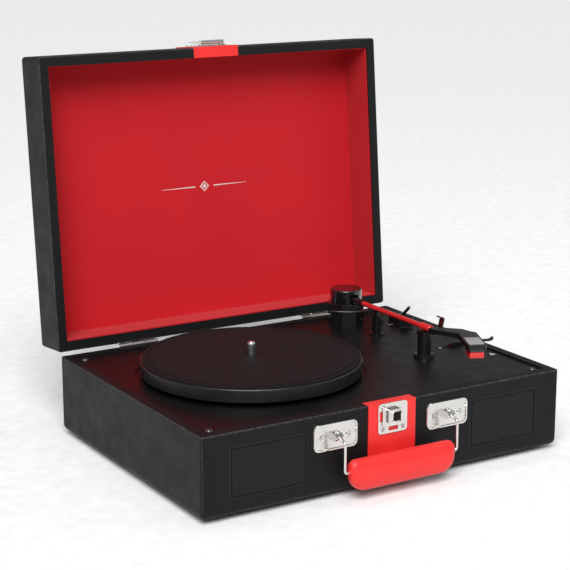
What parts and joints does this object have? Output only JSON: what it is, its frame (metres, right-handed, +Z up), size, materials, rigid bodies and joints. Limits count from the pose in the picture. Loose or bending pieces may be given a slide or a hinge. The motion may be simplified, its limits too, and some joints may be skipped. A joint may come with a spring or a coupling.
{
  "type": "suitcase record player",
  "caption": "Portable belt-driven record player built into a hinged suitcase, lid open, with tonearm, front loudspeakers, latch and folding carrying handle.",
  "frame": {"origin": "on the surface the feet stand on, in the middle of the open player's whole outline", "axes": "+X to the player's right as seen from the front, +Y to the hinged back, +Z up along the platter's spindle"},
  "size_m": [0.352, 0.3537, 0.3413],
  "materials": {
    "leathercloth": "black grained leathercloth, low sheen",
    "red_cloth": "red leathercloth",
    "red_lining": "red paper-backed cloth",
    "nickel": "bright nickel plate",
    "screw_steel": "bright nickel plate",
    "dark_screw": "blackened",
    "black_rubber": "matt",
    "grille_black": "ribbed, satin",
    "speaker_steel": "satin",
    "deck_black": "fine texture",
    "bronze": "sintered",
    "steel": "turned",
    "platter_black": "satin",
    "motor_steel": "zinc plate",
    "gloss_black": "gloss",
    "satin_black": "satin",
    "red_metal": "gloss red",
    "red_plastic": "gloss red",
    "headshell_grey": "satin, dark",
    "board_green": "solder resist",
    "brass_plate": "plated",
    "natural_nylon": "natural"
  },
  "bodies": {
    "base": {"base_shell": "leathercloth", "base_strap": "red_cloth", "rubber_feet": "black_rubber", "speaker_grilles": "grille_black", "speakers": "speaker_steel", "handle_brackets": "nickel", "catch_plate": "nickel", "catch_screws": "screw_steel", "deck_plate": "deck_black", "deck_screws": "dark_screw", "platter_bearing": "bronze", "motor": "motor_steel", "motor_screws": "dark_screw", "drive_belt": "black_rubber", "tonearm_base": "gloss_black", "arm_rest": "satin_black", "lifter_guide": "satin_black", "cue_block": "satin_black", "slide_switches": "satin_black", "volume_pot": "motor_steel", "rear_panel": "satin_black", "dc_inlet": "gloss_black", "line_out_sockets": "brass_plate", "circuit_board": "board_green", "board_posts": "natural_nylon", "base_hinge_leaves": "nickel", "hinge_pins": "steel", "wood_screws": "screw_steel"},
    "lid": {"lid_shell": "leathercloth", "lid_lining": "red_lining", "lid_strap": "red_cloth", "lid_hinge_leaves": "nickel", "lid_hinge_screws": "screw_steel", "latch_plate": "nickel", "latch_screws": "screw_steel"},
    "hasp": {"latch_hasp": "nickel"},
    "handle": {"handle_bail": "nickel", "handle_grip": "red_cloth"},
    "button": {"catch_button": "nickel"},
    "turntable": {"spindle": "steel", "platter": "platter_black", "platter_mat": "black_rubber"},
    "rotor": {"motor_pulley": "steel"},
    "arm_pivot": {"arm_yoke": "satin_black", "yoke_axle": "steel", "pivot_cap": "gloss_black"},
    "arm": {"arm_block": "satin_black", "arm_tube": "red_metal", "arm_collar": "red_plastic", "headshell": "headshell_grey", "cartridge": "gloss_black", "stylus": "red_plastic", "finger_lift": "headshell_grey"},
    "clip": {"arm_clip": "gloss_black"},
    "lifter": {"cue_lifter": "gloss_black"},
    "lever": {"cue_lever": "gloss_black"},
    "speed_slide": {"speed_knob": "satin_black"},
    "autostop_slide": {"autostop_knob": "satin_black"},
    "volume": {"volume_wheel": "satin_black"}
  },
  "joints": [
    {"name": "lid_hinge", "type": "hinge", "parent": "base", "child": "lid", "pos_m": [0, 0.11067, 0.0718], "axis": [1, 0, 0], "range_deg": [0, 95.1]},
    {"name": "hasp_hinge", "type": "hinge", "parent": "lid", "child": "hasp", "pos_m": [0, 0.14367, 0.33922], "axis": [1, 0, 0], "range_deg": [0, 180]},
    {"name": "catch_button_slide", "type": "slide", "parent": "base", "child": "button", "axis": [-1, 0, 0], "range_m": [0, 0.0025], "stiffness_N_per_m": 200},
    {"name": "handle_hinge", "type": "hinge", "parent": "base", "child": "handle", "pos_m": [0, -0.15873, 0.0535], "axis": [-1, 0, 0], "range_deg": [0, 95]},
    {"name": "platter_spin", "type": "hinge", "parent": "base", "child": "turntable", "pos_m": [-0.054, -0.02013, 0.0867], "axis": [0, 0, 1], "continuous": true},
    {"name": "motor_spin", "type": "hinge", "parent": "base", "child": "rotor", "pos_m": [0.008, 0.02487, 0.0711], "axis": [0, 0, 1], "continuous": true},
    {"name": "tonearm_swing", "type": "hinge", "parent": "base", "child": "arm_pivot", "pos_m": [0.102, 0.06887, 0.099], "axis": [0, 0, -1], "range_deg": [0, 48]},
    {"name": "tonearm_lift", "type": "hinge", "parent": "arm_pivot", "child": "arm", "pos_m": [0.102, 0.06887, 0.099], "axis": [-1, 0, 0], "range_deg": [0, 2.3]},
    {"name": "clip_hinge", "type": "hinge", "parent": "base", "child": "clip", "pos_m": [0.11, -0.05813, 0.095], "axis": [0, -1, 0], "range_deg": [0, 105]},
    {"name": "cue_lever_hinge", "type": "hinge", "parent": "base", "child": "lever", "pos_m": [0.152, 0.04887, 0.0771], "axis": [-1, 0, 0], "range_deg": [0, 70]},
    {"name": "cue_lifter_slide", "type": "slide", "parent": "base", "child": "lifter", "axis": [0, 0, 1], "range_m": [0, 0.0017]},
    {"name": "speed_slide", "type": "slide", "parent": "base", "child": "speed_slide", "axis": [1, 0, 0], "range_m": [0, 0.009]},
    {"name": "autostop_slide", "type": "slide", "parent": "base", "child": "autostop_slide", "axis": [1, 0, 0], "range_m": [0, 0.005]},
    {"name": "volume_turn", "type": "hinge", "parent": "base", "child": "volume", "pos_m": [0.148, -0.04313, 0.0631], "axis": [0, 1, 0], "range_deg": [0, 270]}
  ],
  "couplings": [
    {"joint": "motor_spin", "follows": "platter_spin", "ratio": 9.1667},
    {"joint": "cue_lever_hinge", "follows": "tonearm_lift", "ratio": 30.4},
    {"joint": "cue_lifter_slide", "follows": "tonearm_lift", "m_per_rad": 0.0423}
  ]
}
